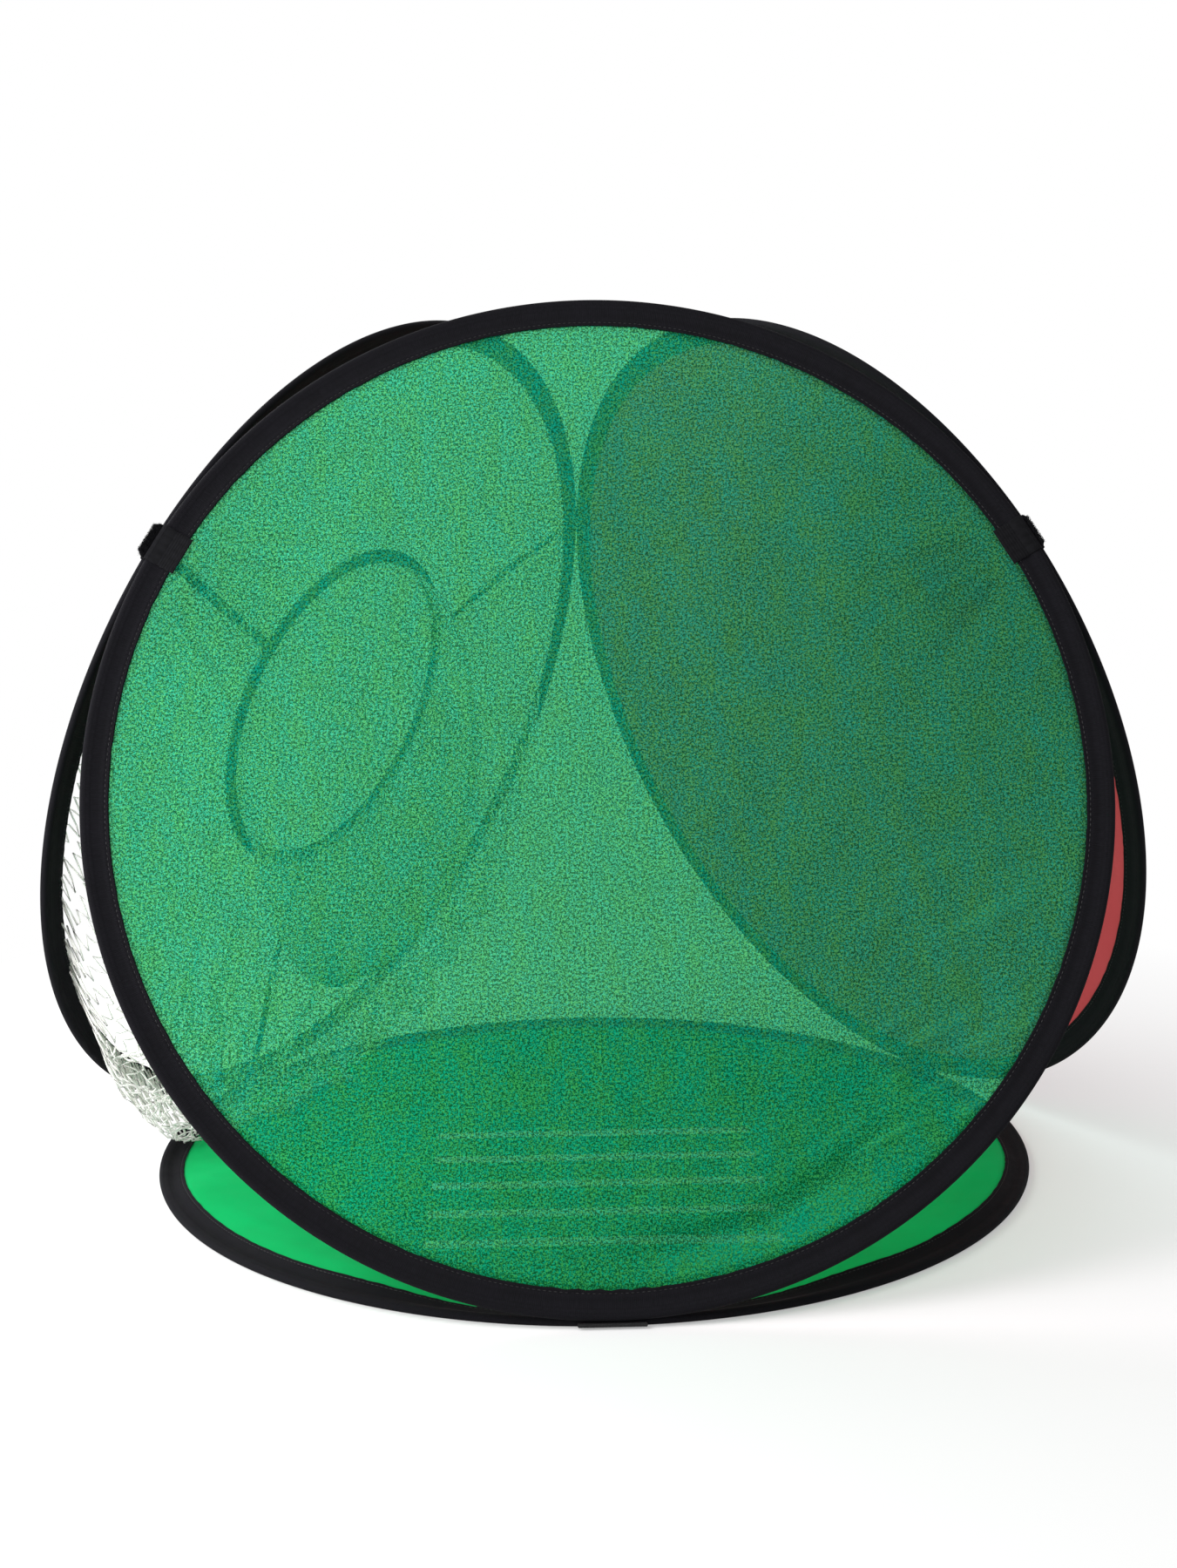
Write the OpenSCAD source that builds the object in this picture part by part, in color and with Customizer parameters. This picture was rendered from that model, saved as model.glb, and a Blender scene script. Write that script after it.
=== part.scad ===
// Pop-up golf chipping net, in millimetres.
// Four sprung hoops of one size stand as a tent: one lies on the ground and three lean on
// each other over it. Each hoop is the circle inside one face of a regular four-sided
// pyramid, so every hoop touches the other three, half way along the pyramid's edges.
// +Z is up. The origin is the centre of the ground sheet, on the ground.
// The green mesh face looks to -Y, the red face to the right and back, the net to the left
// and back. Every leaning face is hinged to the ground hoop by a sewn bar at its foot.

/* [Hoops] */
// Outside diameter of each hoop, over its binding
hoop_d = 610; // [420:5:900]
// Free space between two bindings where their hoops touch
hoop_gap = 0.4; // [0.2:0.1:1]
// Height of the flat spring strip, across the plane of the hoop
spring_h = 3; // [2:0.1:3.4]
// Thickness of the flat spring strip
spring_t = 0.8; // [0.5:0.1:1]
// Space between the two ends of a spring, inside its ferrule
spring_end_gap = 1.5; // [0.5:0.5:4]
// Length of the crimped ferrule that joins the ends of a spring
ferrule_l = 24; // [14:1:40]
// Wall of the ferrule
ferrule_wall = 0.25; // [0.2:0.05:0.3]
// Place of the ferrule round the hoop, in degrees from its right-hand side
ferrule_angle = 210; // [190:1:230]

/* [Binding] */
// Width of the folded binding tape, from its outer to its inner edge
binding_w = 17; // [13:0.5:26]
// Thickness of the rim bead that holds the spring
bead_d = 5.2; // [5.2:0.1:8]
// Thickness of one layer of tape
tape_t = 0.65; // [0.4:0.05:0.7]
// Width over which the binding thins from the bead to its flat flange
bead_slope_w = 3; // [2:0.5:5]
// Free space on each side of what lies inside a binding
fit_play = 0.05; // [0.02:0.01:0.1]

/* [Panels] */
// Thickness of the woven panels
panel_t = 0.5; // [0.3:0.1:0.8]
// Width over which the ground sheet drops from its binding to the ground
base_drop_w = 5; // [3:1:15]

/* [Net] */
// Thickness of the net's cords
net_cord = 1.2; // [0.8:0.1:1.6]
// Width of a cord of the net, seen flat
net_cord_w = 2.4; // [1.5:0.1:4]
// Width of one diamond of the net
mesh_w = 38; // [36:1:60]
// Height of one diamond of the net
mesh_h = 44; // [40:1:70]

/* [Target ring] */
// Diameter of the circle that the ring's bead follows
ring_d = 232; // [160:2:300]
// Distance of the ring's centre from the hoop's centre, towards the green face
ring_side = 16; // [0:1:30]
// Distance of the ring's centre from the hoop's centre, up the slope
ring_up = 14; // [0:1:30]
// Thickness of the ring's bead
ring_bead_d = 4.6; // [4.6:0.1:6]
// Width of the ring's folded tape, from its bead's inner side to its outer edge
ring_binding_w = 10; // [9:0.5:16]
// Height of the ring's spring strip
ring_spring_h = 2.2; // [1.6:0.1:2.4]
// Length of the ring's ferrule
ring_ferrule_l = 16; // [10:1:24]

/* [Straps] */
// Width of the straps that hold the ring
strap_w = 7; // [5:0.5:12]
// Thickness of the straps
strap_t = 1; // [0.6:0.1:1.5]
// Length of strap sewn onto a flange
strap_lap = 4; // [3:0.5:5]

/* [Pocket] */
// How far the pocket reaches into the tent from the ring's centre
pocket_reach = 100; // [60:5:120]
// How far the pocket's lowest point hangs below the ring's centre
pocket_drop = 205; // [150:5:225]
// Wall of the pocket
pocket_wall = 1.6; // [1:0.1:2.5]

/* [Fasteners] */
// Width of a hook-and-loop tab, along the rims that it joins
tab_w = 24; // [16:1:40]
// Thickness of a hook-and-loop tab
tab_t = 1; // [0.8:0.1:1.6]
// Height of a tab's free end over the line where the faces meet
tab_h = 4.5; // [3:0.5:10]
// Length of a tab past the inner edge of its binding
tab_over = 2.5; // [0:0.5:6]
// Free space between a tab, or a strap, and what it lies on
lay_gap = 0.1; // [0.05:0.05:0.2]
// Length of each sewn hinge bar
hinge_l = 40; // [20:1:60]
// Free space between a hinge bar and the beads that turn on it
hinge_play = 0.3; // [0.2:0.05:0.5]

/* [Hidden] */
$fn = 180;

// Lean of a face: the angle between two faces of a regular four-sided pyramid
face_lean = acos(1 / 3);
// Directions in which the leaning faces look, seen from above
green_azimuth = -90;
red_azimuth = 30;
net_azimuth = 150;
// Places on a leaning hoop, round its centre, where it touches its neighbours and the ground hoop
touch_right = 30;
touch_left = 150;
touch_foot = 270;

hoop_r = hoop_d / 2;
bead_r = bead_d / 2;
bead_circle_r = hoop_r - bead_r;
binding_inner_r = hoop_r - binding_w;
// Distance in a face from the pyramid's edge to the bead's centre
bead_reach = (bead_r + hoop_gap / 2) / sin(face_lean / 2);
// Radius of the circle inside a face, which touches the pyramid's edges
touch_r = bead_circle_r + bead_reach;

panel_slot = panel_t + 2 * fit_play;
net_slot = net_cord + 2 * fit_play;
cavity_r = bead_r - tape_t;
panel_r = bead_circle_r - cavity_r - fit_play;
net_lip = tape_t + net_slot / 2;

ring_r = ring_d / 2;
ring_bead_r = ring_bead_d / 2;
ring_outer_r = ring_r - ring_bead_r + ring_binding_w;
ring_cavity_r = ring_bead_r - tape_t;
net_inner_r = ring_r + ring_cavity_r + fit_play;

// Black tape, black fastener, bright green, red, white and steel
tape_colour = [0.06, 0.06, 0.07];
tab_colour = [0.10, 0.10, 0.11];
mesh_colour = [0.10, 0.62, 0.38];
sheet_colour = [0.05, 0.60, 0.30];
red_colour = [0.85, 0.25, 0.27];
net_colour = [0.93, 0.93, 0.90];
steel_colour = [0.60, 0.61, 0.63];
ferrule_colour = [0.72, 0.70, 0.64];

// ---- Placing ----

// Puts a hoop drawn round the origin in the XY plane onto a leaning face.
// Its +X runs along the ground, +Y up the slope and +Z out of the tent.
module on_face(azimuth)
    rotate([0, 0, azimuth + 90])
    translate([0, -touch_r, bead_r])
    rotate([face_lean, 0, 0])
    translate([0, touch_r, 0])
    children();

// Puts a hoop drawn round the origin onto the ground.
module on_ground()
    translate([0, 0, bead_r])
    children();

// ---- Hoops ----

// How far under the bead's skin a flange's slope starts
slope_sink = 0.02;

// Section of a folded tape, with its bead's centre at the origin: a hollow bead, a slope and
// a flange that runs to -x, with a slot along it for the edge of a panel.
module tape_section(bead, width, slot)
{
    lip = tape_t + slot / 2;
    edge_x = bead / 2 - width;
    knee_x = -bead / 2 - bead_slope_w;
    start = bead / 2 - slope_sink;
    difference() {
        union() {
            circle(d = bead, $fn = 48);
            polygon([
                [0, start], [knee_x, lip], [edge_x, lip],
                [edge_x, -lip], [knee_x, -lip], [0, -start]
            ]);
        }
        circle(d = bead - 2 * tape_t, $fn = 48);
        translate([edge_x - tape_t, -slot / 2]) square([tape_t - edge_x, slot]);
    }
}

// Section of the ground hoop's tape, as above but pressed flat underneath.
module ground_tape_section()
{
    knee_r = bead_circle_r - bead_r - bead_slope_w;
    lip_top = 2 * tape_t + panel_slot;
    difference() {
        union() {
            translate([bead_circle_r, bead_r]) circle(d = bead_d, $fn = 48);
            polygon([
                [bead_circle_r, 0], [bead_circle_r, bead_d],
                [knee_r, lip_top], [binding_inner_r, lip_top], [binding_inner_r, 0]
            ]);
        }
        translate([bead_circle_r, bead_r]) circle(d = bead_d - 2 * tape_t, $fn = 48);
        translate([binding_inner_r - tape_t, tape_t])
            square([binding_w - bead_r + tape_t, panel_slot]);
    }
}

// Flat spring strip, bent to a hoop, with its two ends just apart.
module spring_hoop(radius, height)
{
    gap_sweep = spring_end_gap / radius * 180 / PI;
    color(steel_colour)
    rotate([0, 0, ferrule_angle + gap_sweep / 2])
    rotate_extrude(angle = 360 - gap_sweep)
    translate([radius - spring_t / 2, -height / 2])
    square([spring_t, height]);
}

// Crimped sleeve over the two ends of a spring.
module ferrule(radius, height, length)
{
    sweep = length / radius * 180 / PI;
    bore_t = spring_t + fit_play;
    bore_h = height + fit_play;
    color(ferrule_colour)
    rotate([0, 0, ferrule_angle - sweep / 2])
    rotate_extrude(angle = sweep)
    difference() {
        translate([radius - bore_t / 2 - ferrule_wall, -bore_h / 2 - ferrule_wall])
            square([bore_t + 2 * ferrule_wall, bore_h + 2 * ferrule_wall]);
        translate([radius - bore_t / 2, -bore_h / 2])
            square([bore_t, bore_h]);
    }
}

module hoop_binding(slot)
    color(tape_colour)
    rotate_extrude()
    translate([bead_circle_r, 0])
    tape_section(bead_d, binding_w, slot);

module hoop_panel(paint)
    color(paint)
    cylinder(h = panel_t, r = panel_r, center = true);

// ---- Ground sheet ----

module base_spring() on_ground() spring_hoop(bead_circle_r, spring_h);
module base_ferrule() on_ground() ferrule(bead_circle_r, spring_h, ferrule_l);

module base_binding()
    color(tape_colour)
    rotate_extrude()
    ground_tape_section();

// The sheet lies on the ground and rises into its binding at the rim.
module base_panel()
{
    rim_z = tape_t + fit_play;
    rim_start_r = binding_inner_r - 2 * panel_t;
    flat_r = rim_start_r - base_drop_w;
    color(sheet_colour)
    rotate_extrude()
    polygon([
        [0, 0], [flat_r, 0], [rim_start_r, rim_z], [panel_r, rim_z],
        [panel_r, rim_z + panel_t], [rim_start_r, rim_z + panel_t],
        [flat_r, panel_t], [0, panel_t]
    ]);
}

// Sewn bar between the beads of the ground hoop and a leaning hoop, on their hinge line.
module hinge_bar(azimuth)
    color(tape_colour)
    rotate([0, 0, azimuth + 90])
    translate([0, -touch_r, bead_r])
    rotate([0, 90, 0])
    cylinder(h = hinge_l, r = bead_reach - bead_r - hinge_play, center = true, $fn = 32);

module hinge_green() hinge_bar(green_azimuth);
module hinge_red() hinge_bar(red_azimuth);
module hinge_net() hinge_bar(net_azimuth);

// ---- Hook-and-loop tabs ----

// Section of a tab, in a plane square to the pyramid's edge. The origin is on the edge, x runs
// away from the hoop's centre in its plane and y runs out of the tent. The tab lies on the
// flange, goes over the bead and ends in a flag that stands on its own side of the plane
// half way between the two faces, so that each face can swing away with its own tab.
function from_mid_plane(p) = let (half = face_lean / 2)
    [p[1] * cos(half) - p[0] * sin(half), p[0] * cos(half) + p[1] * sin(half)];

function bead_arc(radius, first, last, steps) = [
    for (i = [0:steps])
        let (a = first + (last - first) * i / steps)
        from_mid_plane([
            bead_reach * sin(face_lean / 2) + radius * cos(a),
            -bead_reach * cos(face_lean / 2) + radius * sin(a)
        ])
];

module tab(angle, lip)
{
    inner_r = bead_r + lay_gap;
    outer_r = inner_r + tab_t;
    side = lay_gap + tab_t;
    bead_side = bead_reach * sin(face_lean / 2);
    bead_depth = bead_reach * cos(face_lean / 2);
    outer_end = acos((side - bead_side) / outer_r);
    inner_end = 120;
    flag_foot = inner_r * sin(inner_end) - bead_depth;
    end_x = -(touch_r - binding_inner_r + tab_over);
    knee_x = -(bead_reach + bead_r + bead_slope_w);
    low = lip + lay_gap;
    color(tab_colour)
    rotate([0, 0, angle])
    translate([touch_r, 0, 0])
    rotate([90, 0, 0])
    linear_extrude(height = tab_w, center = true)
    polygon(concat(
        [[end_x, low], [end_x, low + tab_t], [knee_x, low + tab_t]],
        bead_arc(outer_r, face_lean / 2, outer_end, 6),
        [from_mid_plane([side, tab_h]), from_mid_plane([lay_gap, tab_h])],
        [from_mid_plane([lay_gap, flag_foot])],
        bead_arc(inner_r, inner_end, face_lean / 2, 6),
        [[knee_x, low]]
    ));
}

panel_lip = tape_t + panel_slot / 2;

module tab_green_to_net() on_face(green_azimuth) tab(touch_left, panel_lip);
module tab_green_to_red() on_face(green_azimuth) tab(touch_right, panel_lip);
module tab_red_to_green() on_face(red_azimuth) tab(touch_left, panel_lip);
module tab_red_to_net() on_face(red_azimuth) tab(touch_right, panel_lip);
module tab_net_to_red() on_face(net_azimuth) tab(touch_left, net_lip);
module tab_net_to_green() on_face(net_azimuth) tab(touch_right, net_lip);

// ---- Green face ----

module green_spring() on_face(green_azimuth) spring_hoop(bead_circle_r, spring_h);
module green_ferrule() on_face(green_azimuth) ferrule(bead_circle_r, spring_h, ferrule_l);
module green_binding() on_face(green_azimuth) hoop_binding(panel_slot);
module green_panel() on_face(green_azimuth) hoop_panel(mesh_colour);

// ---- Red face ----

module red_spring() on_face(red_azimuth) spring_hoop(bead_circle_r, spring_h);
module red_ferrule() on_face(red_azimuth) ferrule(bead_circle_r, spring_h, ferrule_l);
module red_binding() on_face(red_azimuth) hoop_binding(panel_slot);
module red_panel() on_face(red_azimuth) hoop_panel(red_colour);

// ---- Net face ----

module net_spring() on_face(net_azimuth) spring_hoop(bead_circle_r, spring_h);
module net_ferrule() on_face(net_azimuth) ferrule(bead_circle_r, spring_h, ferrule_l);
module net_binding() on_face(net_azimuth) hoop_binding(net_slot);

// Share of a diamond's width by which its centre may lie outside the open net
edge_share = 0.2;

module at_ring() translate([ring_side, ring_up, 0]) children();

// Diamonds of the net, as holes. A diamond is kept where enough of it is over open net.
module net_gaps()
{
    columns = ceil(hoop_d / mesh_w);
    rows = ceil(hoop_d / mesh_h * 2);
    gap_w = mesh_w - net_cord_w * sqrt(1 + pow(mesh_w / mesh_h, 2));
    gap_h = gap_w * mesh_h / mesh_w;
    margin = mesh_w * edge_share;
    for (row = [-rows:rows], column = [-columns:columns]) {
        x = (column + (row % 2 == 0 ? 0 : 0.5)) * mesh_w;
        y = row * mesh_h / 2;
        from_hoop = norm([x, y]);
        from_ring = norm([x - ring_side, y - ring_up]);
        if (from_hoop < binding_inner_r + margin && from_ring > ring_outer_r - margin)
            translate([x, y])
            polygon([[gap_w / 2, 0], [0, gap_h / 2], [-gap_w / 2, 0], [0, -gap_h / 2]]);
    }
}

// The net runs from the hoop's binding to the ring's, with an edge cord inside each.
module net_panel()
    color(net_colour)
    on_face(net_azimuth)
    linear_extrude(height = net_cord, center = true)
    difference() {
        circle(r = panel_r);
        at_ring() circle(r = net_inner_r);
        difference() {
            intersection() {
                net_gaps();
                circle(r = binding_inner_r - net_cord_w / 2);
            }
            at_ring() circle(r = ring_outer_r + net_cord_w / 2);
        }
    }

// ---- Target ring ----

module ring_spring() on_face(net_azimuth) at_ring() spring_hoop(ring_r, ring_spring_h);

module ring_ferrule()
    on_face(net_azimuth) at_ring() ferrule(ring_r, ring_spring_h, ring_ferrule_l);

module ring_binding()
    color(tape_colour)
    on_face(net_azimuth)
    at_ring()
    rotate_extrude()
    translate([ring_r, 0])
    mirror([1, 0])
    tape_section(ring_bead_d, ring_binding_w, net_slot);

// Strap that runs straight towards the ring's centre and ends on the ring's flange. hoop_end_r
// is the distance of its other end from the hoop's centre.
module strap(angle, hoop_end_r)
{
    hoop_end = hoop_end_r * [cos(angle), sin(angle)];
    run = hoop_end - [ring_side, ring_up];
    ring_end = ring_outer_r - strap_lap;
    color(tape_colour)
    at_ring()
    rotate([0, 0, atan2(run.y, run.x)])
    translate([ring_end, -strap_w / 2, net_lip + lay_gap])
    cube([norm(run) - ring_end, strap_w, strap_t]);
}

// The upper straps carry on from the tabs, and the lowest one laps onto the hoop's flange.
strap_joint = 4 * lay_gap;
tab_end_r = binding_inner_r - tab_over - strap_joint;

module strap_green_side() on_face(net_azimuth) strap(touch_right, tab_end_r);
module strap_red_side() on_face(net_azimuth) strap(touch_left, tab_end_r);
module strap_foot() on_face(net_azimuth) strap(touch_foot, binding_inner_r + strap_lap);

// ---- Pocket ----

// The pocket is a bag of net. Its mouth is sewn behind the ring, and it hangs into the tent.
// Here y runs level into the tent from the ring's centre, and z runs up.
function curve(a, b, c, d, t) =
    pow(1 - t, 3) * a + 3 * t * pow(1 - t, 2) * b + 3 * t * t * (1 - t) * c + pow(t, 3) * d;

pocket_turns = 24;
pocket_levels = 9;
pocket_last = 0.96;
mouth_r = ring_r - pocket_wall / 2;
mouth_back = (ring_bead_r + lay_gap + pocket_wall / 2) * [sin(face_lean), -cos(face_lean)];
mouth_up = mouth_r * [cos(face_lean), sin(face_lean)];
pocket_tip = [0.08 * pocket_reach, -pocket_drop];

// Far side of the bag, from the top of the mouth, and near side, from its foot, to the tip
function far_side(t) = curve(mouth_back + mouth_up, [1.25 * pocket_reach, 0.6 * mouth_r],
    [1.1 * pocket_reach, -0.63 * pocket_drop], pocket_tip, t);
function near_side(t) = curve(mouth_back - mouth_up, [-0.4 * mouth_r, -1.24 * mouth_r],
    [-0.22 * mouth_r, -0.95 * pocket_drop], pocket_tip, t);
function half_width(t) = mouth_r * sqrt(1 - pow(t, 2.5));

// One loop round the bag at depth t, moved inwards by inset
function bag_loop(t, inset) =
    let (
        middle = (far_side(t) + near_side(t)) / 2,
        reach = (far_side(t) - near_side(t)) / 2,
        shrink = 1 - inset / norm(reach),
        width = half_width(t) - inset
    )
    [for (i = [0:pocket_turns - 1])
        let (a = 360 * i / pocket_turns, p = middle + reach * shrink * cos(a))
        [width * sin(a), p[0], p[1]]];

function depth_at(level, last) = last * level / (pocket_levels - 1);

module net_pocket()
{
    n = pocket_turns;
    m = pocket_levels;
    outer = [for (k = [0:m - 1]) each bag_loop(depth_at(k, pocket_last), 0)];
    inner = [for (k = [0:m - 1]) each bag_loop(depth_at(k, pocket_last - 0.03), pocket_wall)];
    outer_tip = [0, pocket_tip[0], pocket_tip[1]];
    inner_tip = [0, pocket_tip[0], pocket_tip[1] + 2 * pocket_wall];
    first_in = n * m;
    tips = 2 * n * m;
    points = concat(outer, inner, [outer_tip, inner_tip]);
    faces = [
        for (k = [0:m - 2], i = [0:n - 1], side = [0, 1])
            let (
                j = (i + 1) % n,
                a = side * first_in + k * n + i, b = side * first_in + k * n + j,
                c = b + n, d = a + n
            )
            each side == 0 ? [[a, d, c], [a, c, b]] : [[a, c, d], [a, b, c]],
        for (i = [0:n - 1])
            let (j = (i + 1) % n, end = (m - 1) * n)
            each [
                [end + i, tips, end + j],
                [first_in + end + i, first_in + end + j, tips + 1],
                [i, j, first_in + j],
                [i, first_in + j, first_in + i]
            ]
    ];
    color(net_colour)
    on_face(net_azimuth)
    at_ring()
    rotate([-face_lean, 0, 0])
    polyhedron(points, faces);
}

base_spring();
base_ferrule();
base_binding();
base_panel();
hinge_green();
hinge_red();
hinge_net();
green_spring();
green_ferrule();
green_binding();
green_panel();
tab_green_to_net();
tab_green_to_red();
red_spring();
red_ferrule();
red_binding();
red_panel();
tab_red_to_green();
tab_red_to_net();
net_spring();
net_ferrule();
net_binding();
net_panel();
tab_net_to_green();
tab_net_to_red();
ring_spring();
ring_ferrule();
ring_binding();
strap_green_side();
strap_red_side();
strap_foot();
net_pocket();
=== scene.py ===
from math import acos, cos, pi, radians, sin, sqrt

import bpy
import numpy as np
from mathutils import Matrix, Vector


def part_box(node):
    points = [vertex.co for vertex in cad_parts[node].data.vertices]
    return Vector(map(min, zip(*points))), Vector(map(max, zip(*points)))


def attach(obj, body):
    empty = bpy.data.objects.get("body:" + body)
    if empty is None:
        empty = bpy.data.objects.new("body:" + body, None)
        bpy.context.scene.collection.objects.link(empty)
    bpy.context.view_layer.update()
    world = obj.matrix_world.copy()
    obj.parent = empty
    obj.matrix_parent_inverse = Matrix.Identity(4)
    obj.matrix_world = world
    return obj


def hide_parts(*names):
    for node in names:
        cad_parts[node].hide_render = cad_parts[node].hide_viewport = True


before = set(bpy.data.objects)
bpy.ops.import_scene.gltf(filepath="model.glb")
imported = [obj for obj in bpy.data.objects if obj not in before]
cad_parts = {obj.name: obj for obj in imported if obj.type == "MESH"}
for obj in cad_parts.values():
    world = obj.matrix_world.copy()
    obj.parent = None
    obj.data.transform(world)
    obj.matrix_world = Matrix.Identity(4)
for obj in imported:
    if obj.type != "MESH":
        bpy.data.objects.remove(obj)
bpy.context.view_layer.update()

# ---- sizes, in metres

# Hoops. Their radius and their bead's come from the frame. A tape is folded round a panel's
# edge and a spring: its slot is the gap for the panel, its slope leads from bead to flange.
hoop_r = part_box("base_binding")[1].x
bead_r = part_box("base_binding")[1].z / 2
hoop_gap = 0.0004
binding_w, tape_t, slope_w = 0.017, 0.00065, 0.003
panel_slot, net_slot = 0.0006, 0.0013
panel_lip, net_lip = tape_t + panel_slot / 2, tape_t + net_slot / 2
seam_in, stitch_sink = 0.0021, 0.0001
inner_r = hoop_r - binding_w
bead_circle_r = hoop_r - bead_r
panel_r = bead_circle_r - 0.004

# The tent: faces of a regular tetrahedron, whose edges pass the beads at touch_r.
face_lean = acos(1 / 3)
bead_reach = (bead_r + hoop_gap / 2) / sin(face_lean / 2)
touch_r = bead_circle_r + bead_reach
azimuths = {"green": -90, "red": 30, "net": 150}

# Target ring, placed on the net face from its middle. It is folded outwards.
ring_r, ring_bead_r, ring_w = 0.116, 0.0023, 0.010
ring_x, ring_y = 0.016, 0.014
ring_outer_r = ring_r - ring_bead_r + ring_w

# Straps, tabs and sewn hinge bars. lay_gap keeps two that lie on each other apart.
lay_gap = 0.0001
strap_w, strap_t, strap_lap = 0.007, 0.001, 0.004
tab_w, tab_t, tab_h, tab_over = 0.024, 0.001, 0.0045, 0.0025
tab_end_share = 0.78
hinge_l, hinge_play = 0.040, 0.0003

# Net and pocket. The yarn's shares are what its cords cover of the cloth that was cut.
cord_d, cell_pitch, cell_h = 0.0013, 0.0056, 0.0102
pocket_reach, pocket_drop, pocket_wall = 0.100, 0.205, 0.0016
pocket_cords, pocket_cut = 112, 0.25


def hinge_matrix(azimuth):
    """Puts a bar drawn along X at the origin where a face meets the ground hoop."""
    return Matrix.Rotation(radians(azimuth + 90), 4, "Z") @ Matrix.Translation((0, -touch_r, bead_r))


def face_matrix(azimuth):
    """Puts a hoop drawn round the origin onto a leaning face, as the CAD does."""
    lean = Matrix.Rotation(face_lean, 4, "X")
    return hinge_matrix(azimuth) @ lean @ Matrix.Translation((0, touch_r, 0))


FACE = {prefix + "_face": face_matrix(azimuth) for prefix, azimuth in azimuths.items()}
FACE["ground"] = Matrix.Translation((0, 0, bead_r))
RING = FACE["net_face"] @ Matrix.Translation((ring_x, ring_y, 0))

# ---- helpers for points


def placed(points, matrix):
    m = np.array(matrix)
    return np.asarray(points, float) @ m[:3, :3].T + m[:3, 3]


def unit(vectors):
    return vectors / (np.linalg.norm(vectors, axis=-1, keepdims=True) + 1e-12)


def distance_along(points):
    """How far each point lies from the first, along the line through them."""
    steps = np.linalg.norm(np.diff(points, axis=0), axis=1)
    return np.concatenate([[0], np.cumsum(steps)])


def smooth_step(x):
    t = np.clip(x, 0, 1)
    return t * t * (3 - 2 * t)


def angle_gap(angle, place):
    """How far angles are from a place round a circle. Only the place is in degrees."""
    return np.abs((angle - radians(place) + pi) % (2 * pi) - pi)


def wander(angle, turns, seed, count):
    """Smooth noise that closes on itself round a circle, from about -1 to 1."""
    draw = np.random.RandomState(seed)
    total = 0 * angle
    for k in range(count):
        total = total + np.sin((turns + k * turns // 3) * angle + draw.uniform(0, 2 * pi))
    return total / sqrt(count)


def drift(x, y, size, seed):
    """Smooth noise over a plane, with features about size across, from about -1 to 1."""
    waves = 7
    draw = np.random.RandomState(seed)
    total = 0 * x
    for k in range(waves):
        way = draw.uniform(0, 2 * pi)
        step = 2 * pi / (size * draw.uniform(0.7, 1.6))
        total = total + np.sin(step * (x * cos(way) + y * sin(way)) + draw.uniform(0, 2 * pi))
    return total / sqrt(waves)


# ---- helpers for meshes


def scene_object(name, data):
    made = bpy.data.objects.new(name, data)
    bpy.context.scene.collection.objects.link(made)
    return made


def mesh_object(name, points, faces, flat=0):
    """A mesh with smooth shading, apart from the last faces: flat is how many they are."""
    mesh = bpy.data.meshes.new(name)
    mesh.from_pydata(np.reshape(points, (-1, 3)).tolist(), [], [list(face) for face in faces])
    mesh.polygons.foreach_set("use_smooth", [True] * (len(faces) - flat) + [False] * flat)
    mesh.update()
    return scene_object(name, mesh)


def new_piece(name, points, faces, body, material, flat=0):
    piece = mesh_object(name, points, faces, flat)
    piece.data.materials.append(material)
    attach(piece, body)
    return piece


def set_uv(piece, values):
    """Gives every corner of every face its place on the flat cloth, in metres."""
    layer = piece.data.uv_layers.new(name="cloth")
    layer.data.foreach_set("uv", np.asarray(values, float).ravel())


def quads(rows, cols, wrap_rows=False, wrap_cols=False):
    """Faces over rows of points, and each corner's row and column, counted on past a wrap."""
    i, j = np.meshgrid(np.arange(rows if wrap_rows else rows - 1),
                       np.arange(cols if wrap_cols else cols - 1), indexing="ij")
    corners = np.stack([np.stack([i.ravel() + down, j.ravel() + right], axis=1)
                        for down, right in ((0, 0), (1, 0), (1, 1), (0, 1))], axis=1)
    return corners[..., 0] % rows * cols + corners[..., 1] % cols, corners


any_way = (0.3, 0.5, 0.8)


def swept_tubes(lines, radius, sides=5, facing=any_way):
    """Points and faces of closed tubes along lines, none of which may run along facing."""
    around = np.arange(sides) * 2 * pi / sides
    all_points, all_faces, start = [], [], 0
    for line in lines:
        count = len(line)
        along = unit(np.gradient(line, axis=0))
        side = unit(np.cross(along, facing))
        normal = np.cross(side, along)
        ring = line[:, None] + radius * (np.cos(around)[:, None] * side[:, None]
                                         + np.sin(around)[:, None] * normal[:, None])
        faces, _ = quads(count, sides, wrap_cols=True)
        end = start + count * sides
        all_points.append(ring.reshape(-1, 3))
        all_faces += (faces + start).tolist()
        all_faces += [range(start + sides - 1, start - 1, -1), range(end - sides, end)]
        start = end
    return np.concatenate(all_points), all_faces


def tube_piece(name, lines, radius, body, material, sides=5, facing=any_way):
    points, faces = swept_tubes(lines, radius, sides, facing)
    return new_piece(name, points, faces, body, material)


def face_tubes(name, lines, radius, body, material, sides):
    """Thin tubes along lines drawn in their face's own frame."""
    tube_piece(name, [placed(line, FACE[body]) for line in lines], radius, body, material, sides)


# ---- materials


def node(tree, kind, inputs=None, **settings):
    """Adds a shader node. A socket given as an input is linked, a number is set."""
    made = tree.nodes.new("ShaderNode" + kind)
    for key, value in settings.items():
        setattr(made, key, value)
    for key, value in (inputs or {}).items():
        if isinstance(value, bpy.types.NodeSocket):
            tree.links.new(value, made.inputs[key])
        else:
            made.inputs[key].default_value = value
    return made


def calc(tree, operation, a, b=0.0, c=0.0):
    return node(tree, "Math", {0: a, 1: b, 2: c}, operation=operation).outputs[0]


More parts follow.
